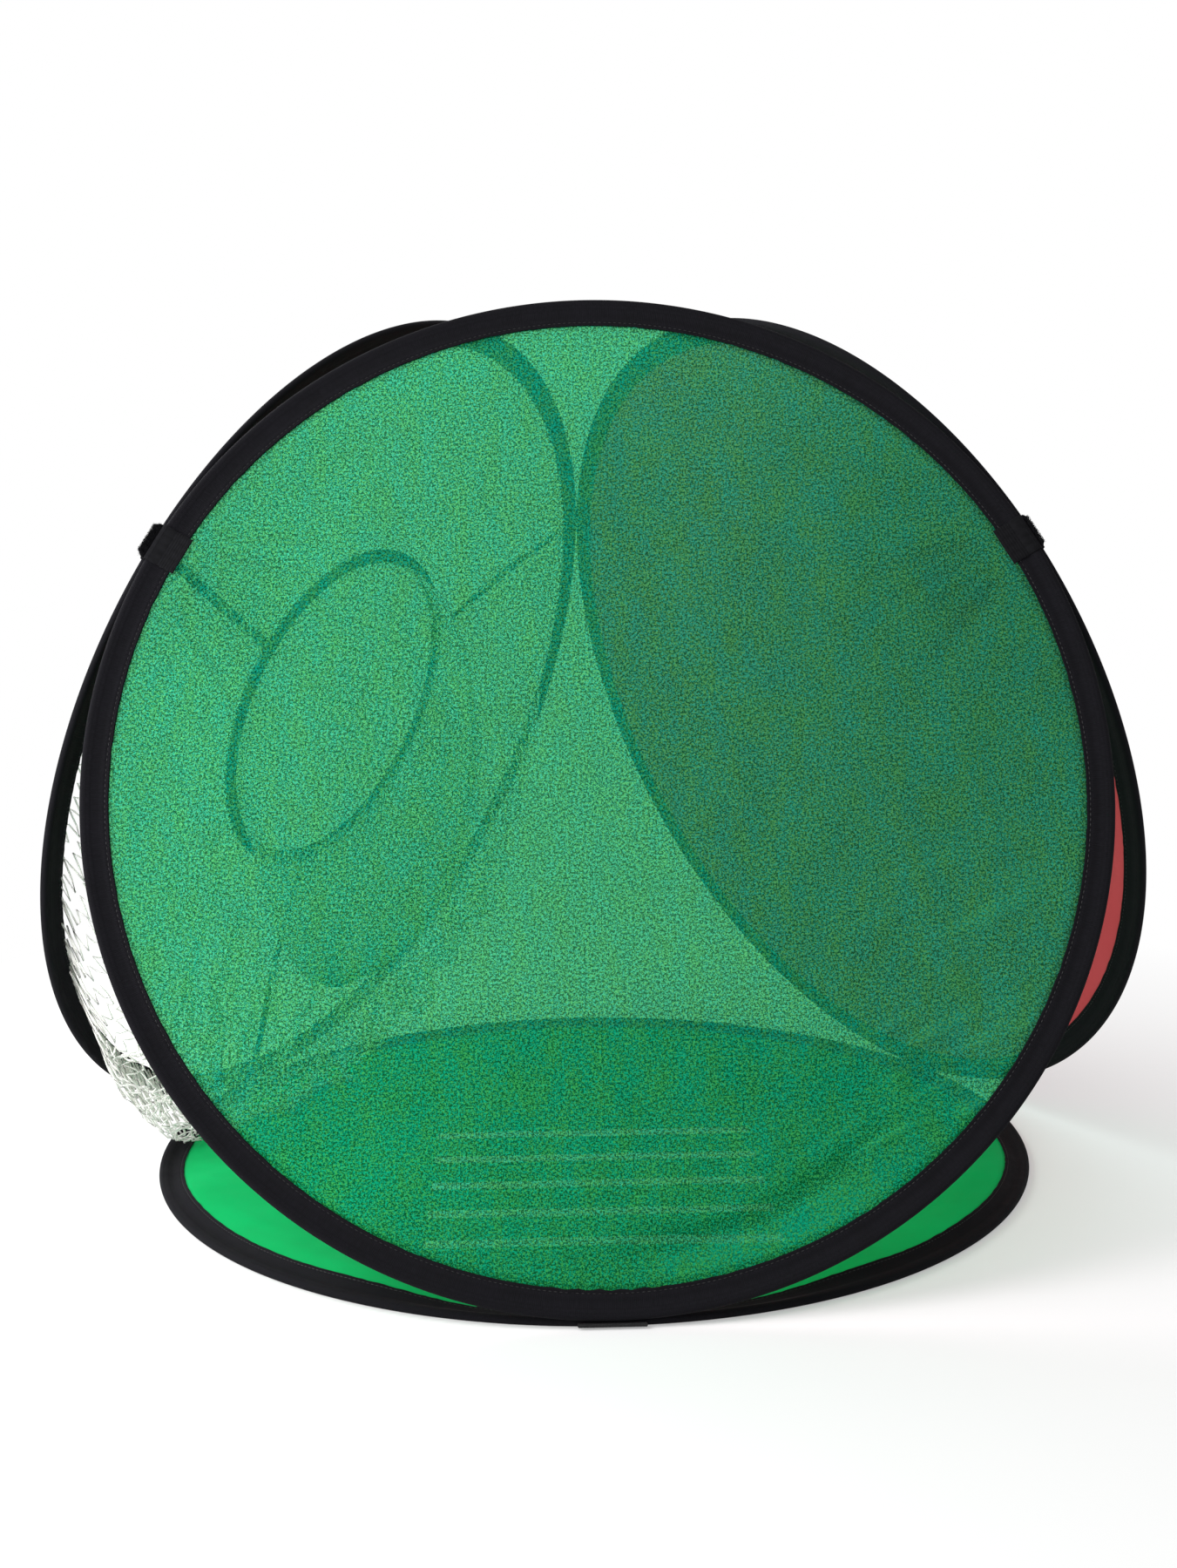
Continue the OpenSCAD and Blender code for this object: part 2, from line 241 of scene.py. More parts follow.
def weighted(tree, *terms):
    """The sum of (value, weight) terms."""
    *others, (value, weight) = terms
    total = calc(tree, "MULTIPLY", value, weight)
    for value, weight in reversed(others):
        total = calc(tree, "MULTIPLY_ADD", value, weight, total)
    return total


def spread(tree, value, low, high, to_low=0.0, to_high=1.0):
    """Maps low to high onto to_low to to_high, and clamps what lies beyond."""
    return node(tree, "MapRange", {0: value, 1: low, 2: high, 3: to_low, 4: to_high}).outputs[0]


def rgb(red, green, blue):
    return (red, green, blue, 1.0)


def mix_colour(tree, factor, a, b):
    return node(tree, "Mix", {0: factor, 6: a, 7: b}, data_type="RGBA").outputs[2]


def mix_shader(tree, share, a, b):
    return node(tree, "MixShader", {0: share, 1: a, 2: b}).outputs[0]


def cloth_uv(tree):
    uv = node(tree, "TexCoord").outputs["UV"]
    parts = node(tree, "SeparateXYZ", {0: uv})
    return uv, parts.outputs["X"], parts.outputs["Y"]


def object_place(tree):
    return node(tree, "TexCoord").outputs["Object"]


def stretched(tree, uv, u_scale, v_scale):
    return node(tree, "Mapping", {"Vector": uv, "Scale": (u_scale, v_scale, 1.0)}).outputs[0]


def noise(tree, vector, scale, detail, rough=0.6):
    return node(tree, "TexNoise", {"Vector": vector, "Scale": scale, "Detail": detail,
                                   "Roughness": rough}).outputs["Fac"]


def twist(tree, place, scale, distortion):
    """The slanted ridges of a twisted cord or thread."""
    inputs = {"Vector": place, "Scale": scale, "Distortion": distortion}
    return node(tree, "TexWave", inputs).outputs["Fac"]


def wave(tree, coordinate, pitch):
    return calc(tree, "SINE", calc(tree, "MULTIPLY", coordinate, pi / pitch))


def ribs(tree, coordinate, pitch):
    """A rounded rib every pitch metres, from 0 to 1."""
    return calc(tree, "ABSOLUTE", wave(tree, coordinate, pitch))


def plain_weave(tree, u, v, pitch):
    """Height of a plain weave: threads that pass over and under each other."""
    crossed = calc(tree, "MULTIPLY", wave(tree, u, pitch), wave(tree, v, pitch))
    return calc(tree, "MULTIPLY_ADD", crossed, 0.5, 0.5)


def bump(tree, height, strength, distance):
    return node(tree, "Bump", {"Strength": strength, "Distance": distance, "Height": height}).outputs[0]


def principled(tree, colour, rough, normal, specular=0.5, metallic=0.0):
    return node(tree, "BsdfPrincipled", {
        "Base Color": colour, "Roughness": rough, "Specular IOR Level": specular,
        "Metallic": metallic, "Normal": normal}).outputs[0]


def backlit(tree, share, front, colour, normal):
    """A front shader, with a share of light that comes through from behind."""
    back = node(tree, "BsdfTranslucent", {"Color": colour, "Normal": normal})
    return mix_shader(tree, share, front, back.outputs[0])


def empty_material(name):
    material = bpy.data.materials.new(name)
    material.use_nodes = True
    material.node_tree.nodes.clear()
    return material, material.node_tree


def finished(material, surface):
    node(material.node_tree, "OutputMaterial", {"Surface": surface})
    return material


def tape_material(name, dark, light, rib, rough):
    """Woven black polyester tape: fine ribs both ways, fibres, and a tone that varies a little."""
    material, tree = empty_material(name)
    uv, u, v = cloth_uv(tree)
    weave = weighted(tree, (ribs(tree, u, rib), 0.65), (ribs(tree, v, rib * 0.7), 0.35))
    blotch, fibre = noise(tree, uv, 60, 4), noise(tree, uv, 1400, 2)
    tone = weighted(tree, (fibre, 0.55), (blotch, 0.45), (weave, 0.25))
    colour = mix_colour(tree, spread(tree, tone, 0.35, 0.95), dark, light)
    normal = bump(tree, calc(tree, "MULTIPLY_ADD", fibre, 0.4, weave), 0.5, 0.00025)
    worn = spread(tree, blotch, 0.3, 0.7, rough - 0.08, rough + 0.1)
    return finished(material, principled(tree, colour, worn, normal, specular=0.07))


def mesh_material(name):
    """Sheer green knit: light passes through its holes and glows through its yarn. Its twisted
    yarns catch it as fine mint, yellow and deep green specks. Its colour has painted shade in
    its creases and by the tape at its rim, and a painted highlight on its raised folds."""
    material, tree = empty_material(name)
    uv, u, v = cloth_uv(tree)
    fine, coarse = noise(tree, uv, 1250, 1.0, 0.7), noise(tree, uv, 660, 1.0)
    fleck = weighted(tree, (fine, 0.55), (coarse, 0.45))
    bright = spread(tree, fleck, 0.435, 0.580)
    streak, speck = noise(tree, stretched(tree, uv, 1.0, 0.35), 105, 1.0), noise(tree, uv, 700, 1.0)
    hue = spread(tree, weighted(tree, (speck, 0.70), (streak, 0.30)), 0.44, 0.56)
    cloud = spread(tree, noise(tree, uv, 26, 4), 0.35, 0.65)
    # Painted shading from the panel: shade in creases and by the tape at the rim, highlight on raised
    # folds.
    fold = node(tree, "Attribute", attribute_name="fold").outputs["Fac"]
    tone = weighted(tree, (fold, -0.20), (cloud, 0.06), (bright, 0.94))

    def shade(deep, mint, straw):
        return mix_colour(tree, tone, deep, mix_colour(tree, hue, mint, straw))

    yarn = shade(rgb(0.0006, 0.075, 0.028), rgb(0.0030, 0.45, 0.33), rgb(0.068, 0.45, 0.130))
    glow = shade(rgb(0.0006, 0.100, 0.036), rgb(0.0030, 0.62, 0.39), rgb(0.052, 0.61, 0.195))
    knit = plain_weave(tree, calc(tree, "ADD", u, v), calc(tree, "SUBTRACT", u, v), 0.0009)
    normal = bump(tree, weighted(tree, (fleck, 0.8), (knit, 0.5)), 0.55, 0.0004)
    front = principled(tree, yarn, 0.72, normal, specular=0.08)
    cloth = backlit(tree, 0.50, front, glow, normal)
    hole = node(tree, "BsdfTransparent", {"Color": rgb(0.25, 1.0, 0.41)}).outputs[0]
    openness = calc(tree, "MULTIPLY_ADD", bright, 0.21, 0.06)
    return finished(material, mix_shader(tree, openness, cloth, hole))


def sheet_material(name, dark, light, glow_share, glow, lines=False):
    """Plain-woven polyester cloth with a little sheen, which lets some light through."""
    material, tree = empty_material(name)
    uv, u, v = cloth_uv(tree)
    weave = plain_weave(tree, u, v, 0.00055)
    slub = noise(tree, stretched(tree, uv, 1.0, 9.0), 220, 3)
    cloud = noise(tree, uv, 18, 4)
    tone = weighted(tree, (cloud, 0.5), (slub, 0.4), (weave, 0.15))
    colour = mix_colour(tree, spread(tree, tone, 0.30, 0.75), dark, light)
    if lines:
        colour = mix_colour(tree, ladder_mask(tree, uv, u, v), colour, rgb(0.88, 0.90, 0.88))
    normal = bump(tree, weighted(tree, (weave, 0.7), (slub, 0.5)), 0.45, 0.0002)
    rough = spread(tree, slub, 0.3, 0.7, 0.50, 0.66)
    front = principled(tree, colour, rough, normal, specular=0.04)
    return finished(material, backlit(tree, glow_share, front, glow, normal))


def ladder_mask(tree, uv, u, v):
    """Plain printed lines across the sheet: a ladder of five, with slightly worn ink."""
    line_count, line_w, line_step, line_l, first = 5, 0.013, 0.050, 0.225, -0.185
    start = first - line_step / 2
    from_line = calc(tree, "PINGPONG", calc(tree, "SUBTRACT", v, first), line_step / 2)
    from_middle = calc(tree, "ABSOLUTE", u)
    mask = spread(tree, noise(tree, uv, 900, 3), 0.30, 0.42)
    for value, test, limit in ((from_line, "LESS_THAN", line_w / 2),
                               (from_middle, "LESS_THAN", line_l / 2),
                               (v, "GREATER_THAN", start),
                               (v, "LESS_THAN", start + line_count * line_step)):
        mask = calc(tree, "MULTIPLY", mask, calc(tree, test, value, limit))
    return mask


def net_material(name):
    """White twisted polyester cord, thin enough to pass some light."""
    material, tree = empty_material(name)
    place = object_place(tree)
    ridges = twist(tree, place, 700.0, 2.5)
    dirt = spread(tree, noise(tree, place, 45, 4), 0.35, 0.75)
    colour = mix_colour(tree, dirt, rgb(0.95, 0.95, 0.93), rgb(0.89, 0.88, 0.83))
    normal = bump(tree, ridges, 0.4, 0.0002)
    front = principled(tree, colour, spread(tree, ridges, 0.0, 1.0, 0.55, 0.75), normal, 0.35)
    return finished(material, backlit(tree, 0.45, front, rgb(0.96, 0.96, 0.94), normal))


def thread_material(name, dark, light):
    material, tree = empty_material(name)
    ridges = twist(tree, object_place(tree), 900.0, 3.0)
    colour = mix_colour(tree, ridges, dark, light)
    return finished(material, principled(tree, colour, 0.55, bump(tree, ridges, 0.4, 0.0001), 0.4))


def steel_material(name, colour, brushed, rough):
    """Rolled strip: fine brushed grain, faint brown temper stains."""
    material, tree = empty_material(name)
    place = object_place(tree)
    grain = noise(tree, place, brushed, 4)
    stain = spread(tree, noise(tree, place, 30, 3), 0.4, 0.7)
    tint = mix_colour(tree, stain, colour, rgb(*np.multiply(colour[:3], (0.72, 0.66, 0.60))))
    worn = spread(tree, grain, 0.3, 0.7, rough - 0.08, rough + 0.12)
    normal = bump(tree, grain, 0.2, 0.00005)
    return finished(material, principled(tree, tint, worn, normal, metallic=1.0))


TAPE = tape_material("black_tape", rgb(0.0018, 0.0018, 0.0024), rgb(0.0105, 0.0100, 0.0130),
                     rib=0.0009, rough=0.82)
WEBBING = tape_material("black_webbing", rgb(0.004, 0.004, 0.005), rgb(0.022, 0.021, 0.025),
                        rib=0.0012, rough=0.82)
HOOK = tape_material("hook_and_loop", rgb(0.0025, 0.0025, 0.003), rgb(0.012, 0.012, 0.014),
                     rib=0.0015, rough=0.90)
THREAD = thread_material("black_thread", rgb(0.003, 0.003, 0.0036), rgb(0.020, 0.019, 0.022))
WHIPPING = thread_material("hinge_thread", rgb(0.0012, 0.0012, 0.0016), rgb(0.0065, 0.0062, 0.0075))
LINT = thread_material("lint", rgb(0.45, 0.45, 0.44), rgb(0.75, 0.75, 0.73))
GREEN_MESH = mesh_material("green_mesh")
GREEN_SHEET = sheet_material("green_sheet", rgb(0.0010, 0.42, 0.105), rgb(0.0020, 0.54, 0.155),
                             glow_share=0.12, glow=rgb(0.0015, 0.46, 0.12), lines=True)
RED = sheet_material("red_fabric", rgb(0.38, 0.046, 0.056), rgb(0.50, 0.078, 0.096),
                     glow_share=0.35, glow=rgb(0.70, 0.09, 0.10))
NET = net_material("white_net")
STEEL = steel_material("spring_steel", rgb(0.52, 0.53, 0.55), brushed=900, rough=0.30)
FERRULE = steel_material("ferrule", rgb(0.66, 0.64, 0.58), brushed=1500, rough=0.38)

# ---- folded tape


def flange_top(r, slot, ground=False):
    """Height of a tape's upper layer above its bead's centre. The ground hoop's lies lower,
    because its lower layer lies on the floor."""
    return -r + 2 * tape_t + slot if ground else tape_t + slot / 2


def tape_outline(r, width, slot, ground=False):
    """Section of a folded tape, round the centre of its bead of radius r: x outwards, z up. slot
    is the gap between its layers. Returns with it how free each point is to pucker, from 0 at
    the bead to 1 at the sewn edge."""
    dip, dip_w, fold = 0.00022, 0.0006, 0.00025
    edge, knee, pinched = r - width, -r - slope_w, -0.6 * r
    seam, flat = edge + seam_in, edge + 2.4 * fold
    top = flange_top(r, slot, ground)
    upper = [(edge, top - tape_t / 2), (edge + fold, top - 0.00006), (flat, top),
             (seam - dip_w, top), (seam, top - dip), (seam + dip_w, top),
             ((edge + knee) / 2, top), (knee, top), ((knee - r) / 2, (top + r) / 2)]
    if ground:
        bead_end, bottom = -90, -r + tape_t
        lower = [(knee, -r), (flat, -r), (edge, -r + tape_t / 2)]
        inside = [(edge + fold, bottom), (pinched, bottom), (pinched, bottom + slot),
                  (edge + fold, bottom + slot)]
    else:
        bead_end, half = -105, slot / 2
        lower = [(x, -z) for x, z in reversed(upper)]
        inside = [(edge + fold, -half), (knee, -half), (pinched, -half),
                  (pinched, half), (knee, half), (edge + fold, half)]
    bead = [(r * cos(radians(a)), r * sin(radians(a))) for a in np.linspace(105, bead_end, 16)]
    points = np.array(upper + bead + lower + inside)
    return points, smooth_step((knee - points[:, 0]) / (knee - edge))


def edge_lift(angle):
    """How far the ground hoop's band tips up off the floor, in radians, round the hoop."""
    tipped_places, half_span, ramp, most = (-38, -142), 40, 24, 32
    lift = 0 * angle
    for place in tipped_places:
        lift = lift + smooth_step((radians(half_span) - angle_gap(angle, place)) / radians(ramp))
    return radians(most) * lift * (1 + 0.16 * wander(angle, 9, 95, 3))


def tipped(points):
    """Turns points of the ground hoop about its bead by the lift at their angle."""
    points = np.asarray(points, float)
    radius = np.hypot(points[..., 0], points[..., 1]) + 1e-9
    turn = edge_lift(np.arctan2(points[..., 1], points[..., 0]))
    out, up = radius - bead_circle_r, points[..., 2]
    new = (bead_circle_r + out * np.cos(turn) + up * np.sin(turn)) / radius
    return np.stack([points[..., 0] * new, points[..., 1] * new,
                     up * np.cos(turn) - out * np.sin(turn)], axis=-1)


def folded_tape(name, body, matrix, radius, section, seed, sewn=(), mirror=1, steps=480, rough=1.0):
    """A tape folded over the edge of a panel and sewn: its free edge puckers between stitches
    and wanders a little, most where it is sewn to a neighbour (sewn: angles in degrees)."""
    sewn_reach, gather_pitch, pucker_pitch = 0.034, 0.0021, 0.0016
    outline, free = section
    angle = np.arange(steps) * 2 * pi / steps
    ripple = 0.00012 * wander(angle, 60, seed, 5) * rough
    pucker = 0.00016 * wander(angle, 110, seed + 1, 4) * rough
    for place in sewn:
        near = smooth_step(1.35 - angle_gap(angle, place) * radius / sewn_reach)
        ripple = ripple + near * 0.00055 * np.sin(angle * radius / gather_pitch + seed)
        pucker = pucker + near * 0.00025 * np.sin(angle * radius / pucker_pitch)
    out = radius + mirror * (outline[:, 0] + free * ripple[:, None])
    up = outline[:, 1] + free * pucker[:, None]
    grid = np.stack([out * np.cos(angle)[:, None], out * np.sin(angle)[:, None], up], axis=-1)
    if body == "ground":
        grid = tipped(grid)
    grid = placed(grid, matrix)
    grid[..., 2] = np.maximum(grid[..., 2], 0)
    if mirror > 0:
        grid = grid[:, ::-1]
    faces, corners = quads(steps, len(outline), wrap_rows=True, wrap_cols=True)
    tape = new_piece(name, grid, faces, body, TAPE)
    u = np.arange(steps + 1) * 2 * pi / steps * radius
    v = distance_along(np.vstack([outline, outline[:1]]))
    set_uv(tape, np.stack([u[corners[..., 0]], v[corners[..., 1]]], axis=-1))
    return tape


def stitches(name, body, matrix, rows):
    """Machine stitches, each a small lozenge, in rows of (radius, height above the hoop's plane)."""
    pitch, length, width, height = 0.0031, 0.0024, 0.00055, 0.00044
    corners = np.array([(-0.5, 0, 0), (0.5, 0, 0), (0, 0.5, 0), (0, -0.5, 0),
                        (0, 0, 0.5), (0, 0, -0.5)]) * (length, width, height)
    edges = ((0, 3), (3, 1), (1, 2), (2, 0))
    sides = np.array([(a, b, 4) for a, b in edges] + [(b, a, 5) for a, b in edges])
    points, faces = [], []
    for radius, level in rows:
        count = int(2 * pi * radius / pitch)
        for k in range(count):
            a = 2 * pi * k / count
            turn = np.array([(-sin(a), cos(a), 0), (cos(a), sin(a), 0), (0, 0, 1)])
            faces.append(sides + len(corners) * len(points))
            points.append(corners @ turn + (radius * cos(a), radius * sin(a), level))
    points, faces = np.concatenate(points), np.concatenate(faces)
    if body == "ground":
        points = tipped(points)
    new_piece(name, placed(points, matrix), faces, body, THREAD, flat=len(faces))


def build_binding(prefix, body, slot, seed):
    ground = body == "ground"
    tape = folded_tape(prefix + "_tape", body, FACE[body], bead_circle_r,
                       tape_outline(bead_r, binding_w, slot, ground), seed,
                       (-90, 30, 150) if ground else (-90,))
    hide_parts(prefix + "_binding")
    seam_r, level = inner_r + seam_in, flange_top(bead_r, slot, ground) - stitch_sink
    rows = [(seam_r, level)] if ground else [(seam_r, level), (seam_r, -level)]
    stitches(prefix + "_stitching", body, FACE[body], rows)


build_binding("base", "ground", panel_slot, 11)
build_binding("green", "green_face", panel_slot, 21)
build_binding("red", "red_face", panel_slot, 31)
build_binding("net", "net_face", net_slot, 41)

# ---- cloth panels


def disc_grid(radius, count):
    """Square grid pressed smoothly into a disc."""
    line = np.linspace(-1, 1, count)
    a, b = np.meshgrid(line, line, indexing="ij")
    return radius * a * np.sqrt(1 - b * b / 2), radius * b * np.sqrt(1 - a * a / 2)


def crease_fan(x, y, angle, radius, reach, middle, opening, count, length, width, height, seed):
    """Soft creases that spread from a pulled place. They would meet at angle and radius, start
    reach away from there, and run in directions round middle. Angles are in degrees."""
    draw = np.random.RandomState(seed)
    dx, dy = x - radius * cos(radians(angle)), y - radius * sin(radians(angle))
    total = 0 * x
    for k in range(count):
        way = radians(middle + opening * ((k + 0.5) / count - 0.5) + draw.uniform(-3, 3))
        along = dx * cos(way) + dy * sin(way)
        across = -dx * sin(way) + dy * cos(way)
        t = (along - reach) / (length * draw.uniform(0.6, 1.2))
        rise = smooth_step(t * 5) * smooth_step((1 - t) * 1.6)
        wide = width * draw.uniform(0.7, 1.4) * (0.6 + 0.8 * np.clip(t, 0, 1))
        total = total + height * draw.uniform(0.5, 1.1) * rise * np.exp(-(across / wide) ** 2)
    return total


def pull_lines(x, y, height, centre, direction, length, width, pitch, seed):
    """Fine raised lines in one direction, in degrees, over a soft-edged patch."""
    way = radians(direction)
    along = (x - centre[0]) * cos(way) + (y - centre[1]) * sin(way)
    across = (y - centre[1]) * cos(way) - (x - centre[0]) * sin(way)
    streak = np.clip(drift(along * 0.10, across, pitch, seed) - 0.35, 0, 1.2)
    return height * streak * np.exp(-(along / length) ** 2 - (across / width) ** 2)


def build_panel(name, node_name, body, material, sag, waves, fans,
                more_folds=None, count=170):
    """A round cloth panel held by its hoop's tape, with a sag, smooth waves of (height, size,
    seed) and fans of creases. Its fold attribute gives the shader painted shade in its creases,
    a painted highlight on its raised folds and a painted shadow of the tape along its edge."""
    held_in, held_ramp, tipped_ramp, off_floor = 0.001, 0.022, 0.075, 0.0015
    rim_shadow_w, rim_shadow_strength, fold_at_full_shade = 0.005, 1.4, 0.0020
    x, y = disc_grid(panel_r, count)
    radius = np.hypot(x, y)
    free = smooth_step((inner_r - held_in - radius) / held_ramp)
    folds = sum(crease_fan(x, y, *fan) for fan in fans)
    if more_folds:
        folds = folds + more_folds(x, y)
    relief = sum(height * drift(x, y, size, seed) for height, size, seed in waves)
    z = (relief + folds - sag * (1 - (radius / panel_r) ** 2)) * free
    if body == "ground":
        z = z + (off_floor - bead_r) * free + (panel_lip - bead_r) * (1 - free)
    points = np.stack([x, y, z], axis=-1)
    if body == "ground":
        grown = np.maximum(inner_r / (radius + 1e-9), 1)
        edge = np.stack([x * grown, y * grown, z], axis=-1)
        share = 1 - smooth_step((inner_r - radius) / tipped_ramp)
        points = points + share[..., None] * (tipped(edge) - edge)
    faces, _ = quads(count, count)
    piece = new_piece(name, placed(points, FACE[body]), faces, body, material)
    set_uv(piece, np.stack([x, y], axis=-1).reshape(-1, 2)[faces])
    # Painted shading for the mesh's shader: a painted shadow of the tape along the rim, painted shade
    # in creases and a painted highlight on raised folds.
    painted_rim_shadow = rim_shadow_strength * smooth_step((radius - inner_r + rim_shadow_w) / rim_shadow_w)
    painted_shading = np.clip(-folds / fold_at_full_shade, -1, 1) + painted_rim_shadow
    piece.data.attributes.new("fold", "FLOAT", "POINT").data.foreach_set("value", painted_shading.ravel())
    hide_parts(node_name)


# Crease fans, as crease_fan's inputs: angle, radius, reach, middle, opening, count, length,
# width, height and seed. A face has them at its hinge and both tabs, the sheet at its hinges.
green_fans = ((150, 0.32, 0.040, -32, 60, 8, 0.12, 0.0050, -0.0013, 5),
              (30, 0.32, 0.040, -150, 50, 6, 0.10, 0.0045, -0.0010, 6),
              (-90, 0.31, 0.025, 90, 70, 9, 0.06, 0.0030, -0.0007, 7))
red_fans = ((150, 0.32, 0.030, -35, 70, 9, 0.17, 0.0060, -0.0016, 13),
            (30, 0.32, 0.030, -145, 70, 8, 0.15, 0.0060, -0.0014, 14),
            (-90, 0.31, 0.020, 90, 90, 10, 0.10, 0.0050, -0.0010, 15))
base_fans = ((-90, 0.31, 0.020, 90, 120, 12, 0.10, 0.0060, 0.0013, 23),
             (30, 0.31, 0.020, -150, 100, 9, 0.10, 0.0060, 0.0011, 24),
             (150, 0.31, 0.020, -30, 100, 9, 0.10, 0.0060, 0.0011, 25))

# Tension lines of the green mesh, as pull_lines' inputs: height, centre, direction, length,
# width, pitch and seed.
green_lines = ((0.0023, (0.180, -0.195), 208, 0.095, 0.050, 0.012, 3),
               (0.0010, (0.235, -0.075), 205, 0.080, 0.060, 0.016, 4),
               (0.0008, (0.060, -0.255), 200, 0.070, 0.030, 0.013, 6))


def green_folds(x, y):
    """Tension lines run down to the left beside the rim at the lower right, and the foot has a
    puffed band beside the rim, with a groove inside it."""
    lines = sum(pull_lines(x, y, *line) for line in green_lines)
    from_rim, angle = inner_r - np.hypot(x, y), np.degrees(np.arctan2(y, x))
    puff_in, puff_w, puff_h = 0.011, 0.007, 0.0018
    groove_in, groove_w, groove_h = 0.026 + 0.010 * smooth_step((angle + 80) / 40), 0.006, 0.0026
    along_foot = smooth_step((angle + 94) / 18) * smooth_step((-46 - angle) / 16)
    return lines + along_foot * (puff_h * np.exp(-((puff_in - from_rim) / puff_w) ** 2)
                                 - groove_h * np.exp(-((groove_in - from_rim) / groove_w) ** 2))


build_panel("ground_sheet", "base_panel", "ground", GREEN_SHEET, 0,
            ((0.0003, 0.06, 26), (0.0002, 0.025, 27)), base_fans)
build_panel("green_mesh_panel", "green_panel", "green_face", GREEN_MESH, 0.0045,
            ((0.0005, 0.05, 8), (0.0003, 0.02, 9)), green_fans,
            more_folds=green_folds, count=300)
build_panel("red_cloth_panel", "red_panel", "red_face", RED, 0.006,
            ((0.0007, 0.07, 16), (0.0003, 0.025, 17)), red_fans)

# ---- net

gravity = np.array(FACE["net_face"].to_3x3().inverted() @ Vector((0, 0, -1)))


def net_surface(x, y):
    """Where the slack net hangs, in the face's own frame, for a place in its flat plane. The
    slack gathers at the foot, where the net drops over its rim and swings back to the ring."""
    drop, foot_drop, front_drop = 0.004, 0.040, 0.038
    belly, foot_belly, foot_inward = 0.010, 0.022, 0.016
    rim_fall, held_w = 0.009, 0.02
    from_rim = np.clip(inner_r - np.hypot(x, y), 0, None)
    from_ring = np.clip(np.hypot(x - ring_x, y - ring_y) - ring_outer_r, 0, None)
    share = from_rim / (from_rim + from_ring + 1e-6)
    angle = np.degrees(np.arctan2(y, x))
    near_foot = smooth_step((angle + 200) / 60) * smooth_step((12 - angle) / 45)
    to_front = smooth_step((angle + 115) / 40)
    fall = (1 - np.exp(-from_rim / rim_fall)) * (1 - share) ** 1.15
    ragged = near_foot * fall
    fallen = fall * (drop + near_foot * (foot_drop + front_drop * to_front))
    inward = np.sin(pi * share ** 0.8) * (belly + foot_belly * near_foot) + foot_inward * ragged
    loose = smooth_step(from_rim / held_w) * smooth_step(from_ring / held_w)
    wave = 0.0022 * drift(x, y, 0.03, 52) + 0.0055 * near_foot * drift(x, y, 0.05, 51)
    gather = 0.0045 * near_foot * np.sin(np.radians(angle) * 26 + 2 * drift(x, y, 0.08, 54))
    point = np.stack([x, y, 0 * x], axis=-1) + fallen[..., None] * gravity
    point[..., 2] -= inward + loose * (wave + gather) + 0.0026 * ragged * drift(x, y, 0.016, 56)
    # Along the face it shifts in broad waves, and where it hangs over the rim in small ones.
    for axis, broad, broad_size, broad_seed, small, small_seed in (
            (0, 0.0025, 0.030, 53, 0.0022, 57), (1, 0.0060, 0.035, 55, 0.0030, 58)):
        point[..., axis] += loose * broad * near_foot * drift(x, y, broad_size, broad_seed)
        point[..., axis] += small * ragged * drift(x, y, 0.015, small_seed)
    return point


def keep_off_ground(points):
    """Net that would reach the ground lies on the sheet and spreads inwards instead."""
    lowest, spread_share, ruffle = 0.0035, 0.8, 0.0025
    low = np.clip(lowest - points[:, 2], 0, None)
    way = radians(azimuths["net"])
    points = points - spread_share * low[:, None] * np.array([cos(way), sin(way), 0])
    points[:, 2] = np.maximum(points[:, 2], lowest + ruffle * np.abs(np.sin(low * 260)))
    return points


def net_cords():
    """Cords run up the face and swing from side to side, and meet their neighbours at each
    swing, which makes rounded cells. The swings are counted along the hanging cord."""
    swing = (cell_pitch - cord_d * 0.75) / 2
    tuck, fine_step, points_a_cell = 0.004, 0.0005, 4
    tuck_r, ring_tuck_r = inner_r + tuck, ring_outer_r - tuck
    reach = int(tuck_r / cell_pitch)
    lines = []
    for i in range(-reach, reach + 1):
        x0 = i * cell_pitch
        half = sqrt(tuck_r ** 2 - x0 ** 2)
        fine = np.linspace(-half, half, max(int(half / fine_step), 8))
        length = distance_along(net_surface(0 * fine + x0, fine))
        length -= np.interp(0, fine, length)
        step = cell_h / points_a_cell
        s = np.arange(np.ceil(length[0] / step), np.floor(length[-1] / step) + 1) * step
        y = np.interp(s, length, fine)
        phase = 0 if i % 2 else pi
        stray = 0.0009 * drift(0 * y + x0, y, 0.014, 62 + i % 9)
        x = x0 + swing * np.cos(2 * pi * s / cell_h + phase) + stray
        inside_ring = np.hypot(x - ring_x, y - ring_y) < ring_tuck_r
        keep = ~(inside_ring | (np.hypot(x, y) > tuck_r))
        runs = np.split(np.arange(len(s)), np.where(np.diff(keep.astype(int)) != 0)[0] + 1)
        for run in runs:
            if len(run) > 2 and keep[run[0]]:
                line = net_surface(x[run], y[run])
                lines.append(keep_off_ground(placed(line, FACE["net_face"])))
    return lines


net = tube_piece("net_netting", net_cords(), cord_d / 2, "net_face", NET,
                 facing=FACE["net_face"].to_3x3() @ Vector((0, 0, 1)))
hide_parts("net_panel")

# ---- target ring and pocket

ring_tape = folded_tape("ring_tape", "net_face", RING, ring_r,
                        tape_outline(ring_bead_r, ring_w, net_slot), 71,
                        mirror=-1, steps=240, rough=0.8)
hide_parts("ring_binding")
stitches("ring_stitching", "net_face", RING,
         [(ring_outer_r - seam_in, net_lip - stitch_sink),
          (ring_outer_r - seam_in, stitch_sink - net_lip)])


def bezier(a, b, c, d, t):
    a, b, c, d = (np.array(p)[None] for p in (a, b, c, d))
    t = t[:, None]
    return (1 - t) ** 3 * a + 3 * t * (1 - t) ** 2 * b + 3 * t * t * (1 - t) * c + t ** 3 * d


